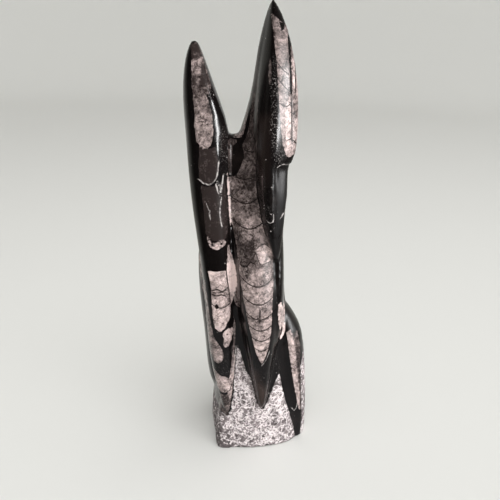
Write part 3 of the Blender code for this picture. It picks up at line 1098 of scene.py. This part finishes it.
def stone_material(finish):
    """Black limestone with calcite fossils, polished, and pecked at the foot."""
    material, w, where = new_material("polished_fossil_limestone")
    place = w.add("ShaderNodeMapping", {"Vector": where, "Scale": (1 / MM,) * 3}).outputs["Vector"]
    wobble = w.math("MULTIPLY_ADD", w.noise(place, 0.45, 4.0, 0.6), 1.6, -0.8)
    fossil = w.rise(w.math("ADD", w.attribute("fossil"), wobble), -0.12, 0.12)
    pecked = w.rise(w.math("ADD", w.attribute("pecked"), wobble), -0.1, 0.35)

    calcite = calcite_colour(w, place, finish)
    seam = w.math("ABSOLUTE", w.math("ADD", w.attribute("seam"), w.math("MULTIPLY", wobble, 0.35)))
    seams = w.rise(w.math("SUBTRACT", w.attribute("seam_width"), seam), -0.22, 0.06)
    calcite = w.blend(w.math("MULTIPLY", seams, 0.95), calcite, finish.seam)
    body = w.blend(fossil, limestone_colour(w, place, finish), calcite)
    vein = w.math("ABSOLUTE", w.math("ADD", w.attribute("vein"), w.math("MULTIPLY", wobble, 0.6)))
    veins = w.rise(w.math("SUBTRACT", w.attribute("vein_width"), vein), -0.2, 0.15)
    faint = w.rise(w.noise(place, 0.5, 3.0, 0.6), 0.38, 0.62, 0.1, 0.62)
    polished = w.blend(w.math("MULTIPLY", veins, faint), body, finish.vein)
    rough_stone, crushed = pecked_colour(w, place, finish)
    surface = w.blend(pecked, polished, rough_stone)

    smear = w.rise(w.noise(place, 0.05, 3.0, 0.6), 0.3, 0.7, finish.polish, finish.polish + 0.08)
    smear = w.math("MULTIPLY_ADD", w.attribute("dull"), 0.18, smear)
    roughness = w.rise(pecked, 0.0, 1.0, w.math("MULTIPLY_ADD", fossil, 0.06, smear), 0.78)
    grain = w.math("MULTIPLY", w.noise(place, 0.9, 5.0, 0.7), pecked)
    grain = w.math("MULTIPLY_ADD", w.math("MULTIPLY", crushed, pecked), 0.5, grain)
    height = w.math("MULTIPLY_ADD", w.math("MULTIPLY", seams, fossil), -0.12, grain)
    bump = w.add("ShaderNodeBump", {"Height": height, "Strength": 0.6, "Distance": 0.5 * MM})
    inputs = {"Base Color": surface, "Roughness": roughness, "Normal": bump.outputs[0], "IOR": 1.5}
    shader = w.add("ShaderNodeBsdfPrincipled", inputs)
    w.add("ShaderNodeOutputMaterial", {"Surface": shader.outputs[0]})
    return material


def floor_material(stage):
    """Smooth pale floor that curves up into a softly glowing wall."""
    material, w, where = new_material("pale_floor")
    away = w.add("ShaderNodeVectorMath", {0: where}, operation="LENGTH").outputs["Value"]
    glow = w.blend(w.rise(away, GLOW_BEGINS, GLOW_FULL), (0, 0, 0, 1), stage.wall_glow)
    inputs = {"Base Color": stage.floor_colour, "Roughness": 0.6, "Emission Color": glow}
    shader = w.add("ShaderNodeBsdfPrincipled", {**inputs, "Emission Strength": 1.0})
    w.add("ShaderNodeOutputMaterial", {"Surface": shader.outputs[0]})
    return material


# ---------------------------------------------------------------------------------------------
# Operators
# ---------------------------------------------------------------------------------------------
class FOSSIL_OT_tower(bpy.types.Operator):
    """Carve, mark and polish the fossil tower"""

    bl_idname = "fossil.tower"
    bl_label = "Polished tower"

    def execute(self, context):
        settings = context.scene.fossil_tower
        stone = stone_block(settings)
        tree = foot_tree()
        refine_foot(stone, tree)
        paint_marks(stone, tree)
        carve(stone, tree, settings)
        make_active(stone)
        bpy.ops.object.shade_smooth()
        stone.data.materials.clear()
        stone.data.materials.append(stone_material(context.scene.fossil_finish))
        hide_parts(NODE)
        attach(stone, "root")
        if len(stone.data.polygons) == 0:
            raise RuntimeError("the tower's mesh is empty")
        return {"FINISHED"}


def hang_lamp(name, shape, size, radiance, area, place, facing):
    """A lamp that shines evenly over its area and that the camera doesn't see."""
    light = bpy.data.lights.new(name, "AREA")
    light.shape = shape
    light.size, light.size_y = size
    light.energy = radiance * math.pi * area
    lamp = bpy.data.objects.new(name, light)
    bpy.context.scene.collection.objects.link(lamp)
    lamp.matrix_world = Matrix.LocRotScale(place, facing, None)
    lamp.visible_camera = False
    return lamp


def soft_box(name, turn, rise, distance, size, lean, radiance):
    """A soft box aimed at the tower, from a row of the lamps' table."""
    turn, rise = math.radians(turn), math.radians(rise)
    way = Vector((math.sin(turn) * math.cos(rise), -math.cos(turn) * math.cos(rise), math.sin(rise)))
    facing = way.to_track_quat("Z", "Y") @ Euler((0, 0, math.radians(-lean))).to_quaternion()
    place = TOWER_MIDDLE + way * distance
    return hang_lamp(name, "RECTANGLE", size, radiance, size[0] * size[1], place, facing)


def floor_bounce():
    """A flat upward glow round the foot, as a pale table gives."""
    area = math.pi * (BOUNCE_SIZE / 2) ** 2
    upward = Euler((math.pi, 0, 0)).to_quaternion()
    size = (BOUNCE_SIZE, BOUNCE_SIZE)
    return hang_lamp("floor_bounce", "DISK", size, BOUNCE_RADIANCE, area, Vector((0, 0, MM)), upward)


def studio_bowl(stage):
    """A round pale floor whose rim curves up into a wall, so that every side has a plain backdrop."""
    bpy.ops.object.select_all(action="DESELECT")
    inner = BOWL_RADIUS * BOWL_MIDDLE
    bpy.ops.mesh.primitive_circle_add(vertices=BOWL_SIDES, radius=inner, fill_type="NGON")
    bowl = bpy.context.object
    bowl.name = "floor"
    bpy.ops.object.mode_set(mode="EDIT")
    bpy.ops.mesh.select_mode(type="EDGE")
    bpy.ops.mesh.select_all(action="SELECT")
    bpy.ops.mesh.extrude_edges_move()
    bpy.ops.transform.resize(value=(1 / BOWL_MIDDLE, 1 / BOWL_MIDDLE, 1), center_override=(0, 0, 0))
    for turn in range(1, BOWL_STEPS + 1):
        before = math.pi / 2 * (turn - 1) / BOWL_STEPS
        after = math.pi / 2 * turn / BOWL_STEPS
        grown = (BOWL_RADIUS + BOWL_CURVE * math.sin(after)) / (BOWL_RADIUS + BOWL_CURVE * math.sin(before))
        risen = BOWL_CURVE * (math.cos(before) - math.cos(after))
        bpy.ops.mesh.extrude_edges_move(TRANSFORM_OT_translate={"value": (0, 0, risen)})
        bpy.ops.transform.resize(value=(grown, grown, 1), center_override=(0, 0, 0))
    bpy.ops.mesh.extrude_edges_move(TRANSFORM_OT_translate={"value": (0, 0, BOWL_WALL)})
    bpy.ops.object.mode_set(mode="OBJECT")
    bpy.ops.object.shade_smooth()
    bowl.data.materials.append(floor_material(stage))
    bowl.visible_glossy = False


def room_light():
    """A faint even light that is brighter behind the stone, which greys its polished edges."""
    world = bpy.data.worlds.new("studio")
    world.use_nodes = True
    w = Wiring(world.node_tree)
    way = w.add("ShaderNodeTexCoord").outputs["Generated"]
    back = w.add("ShaderNodeSeparateXYZ", {0: way}).outputs["Y"]
    strength = w.rise(back, *ROOM_CHANGE, ROOM_FRONT, ROOM_BACK)
    light = w.add("ShaderNodeBackground", {"Color": ROOM_COLOUR, "Strength": strength})
    w.add("ShaderNodeOutputWorld", {"Surface": light.outputs[0]})
    return world


def tower_camera(stage):
    """The camera, in front of the tower and looking down on it."""
    lens = bpy.data.cameras.new("camera")
    lens.sensor_width = SENSOR_WIDTH
    lens.lens = stage.camera_lens
    lens.clip_start = NEAREST_SEEN
    camera = bpy.data.objects.new("camera", lens)
    bpy.context.scene.collection.objects.link(camera)
    tilt = Euler((math.radians(90) - stage.camera_pitch, 0, 0)).to_matrix().to_4x4()
    roll = Matrix.Rotation(stage.camera_roll, 4, "Z")
    camera.matrix_world = Matrix.Translation(Vector(stage.camera_place)) @ tilt @ roll
    return camera


class FOSSIL_OT_stage(bpy.types.Operator):
    """Set the floor, the lights and the camera"""

    bl_idname = "fossil.stage"
    bl_label = "Stage"

    def execute(self, context):
        stage = context.scene.fossil_stage
        studio_bowl(stage)
        overhead = soft_box(*OVERHEAD)
        overhead.visible_glossy = False
        near_lamps = [soft_box(*row) for row in NEAR_LAMPS] + [floor_bounce()]
        on_the_stone = bpy.data.collections.new("lit_by_the_near_lights")
        on_the_stone.objects.link(bpy.data.objects[PIECE])
        for lamp in near_lamps:
            lamp.light_linking.receiver_collection = on_the_stone
        for lamp in (overhead, *near_lamps):
            lamp.data.energy *= stage.light
        context.scene.world = room_light()
        context.scene.camera = tower_camera(stage)
        context.scene.view_settings.view_transform = "Standard"
        return {"FINISHED"}


# What the sidebar lists: each operator and the settings that it reads.
PANEL_ROWS = (
    ("fossil.tower", ("fossil_tower", "fossil_finish")),
    ("fossil.stage", ("fossil_stage",)),
)


class FOSSIL_PT_panel(bpy.types.Panel):
    """Lists the tower's pieces and their settings"""

    bl_idname = "FOSSIL_PT_panel"
    bl_label = "Fossil Tower"
    bl_space_type = "VIEW_3D"
    bl_region_type = "UI"
    bl_category = "Fossil Tower"

    def draw(self, context):
        scene = context.scene
        for operator, groups in PANEL_ROWS:
            self.layout.operator(operator)
            for group in groups:
                settings = getattr(scene, group)
                for name in settings.__annotations__:
                    self.layout.prop(settings, name)


SETTINGS = {
    "fossil_tower": TowerSettings,
    "fossil_finish": FinishSettings,
    "fossil_stage": StageSettings,
}
CLASSES = (*SETTINGS.values(), FOSSIL_OT_tower, FOSSIL_OT_stage, FOSSIL_PT_panel)


def register():
    for made in CLASSES:
        bpy.utils.register_class(made)
    for name, group in SETTINGS.items():
        setattr(bpy.types.Scene, name, bpy.props.PointerProperty(type=group))


def unregister():
    for name in SETTINGS:
        delattr(bpy.types.Scene, name)
    for made in reversed(CLASSES):
        bpy.utils.unregister_class(made)


def main():
    """Makes the tower and its stage."""
    register()
    bpy.ops.fossil.tower()
    bpy.ops.fossil.stage()


if __name__ == "__main__":
    main()
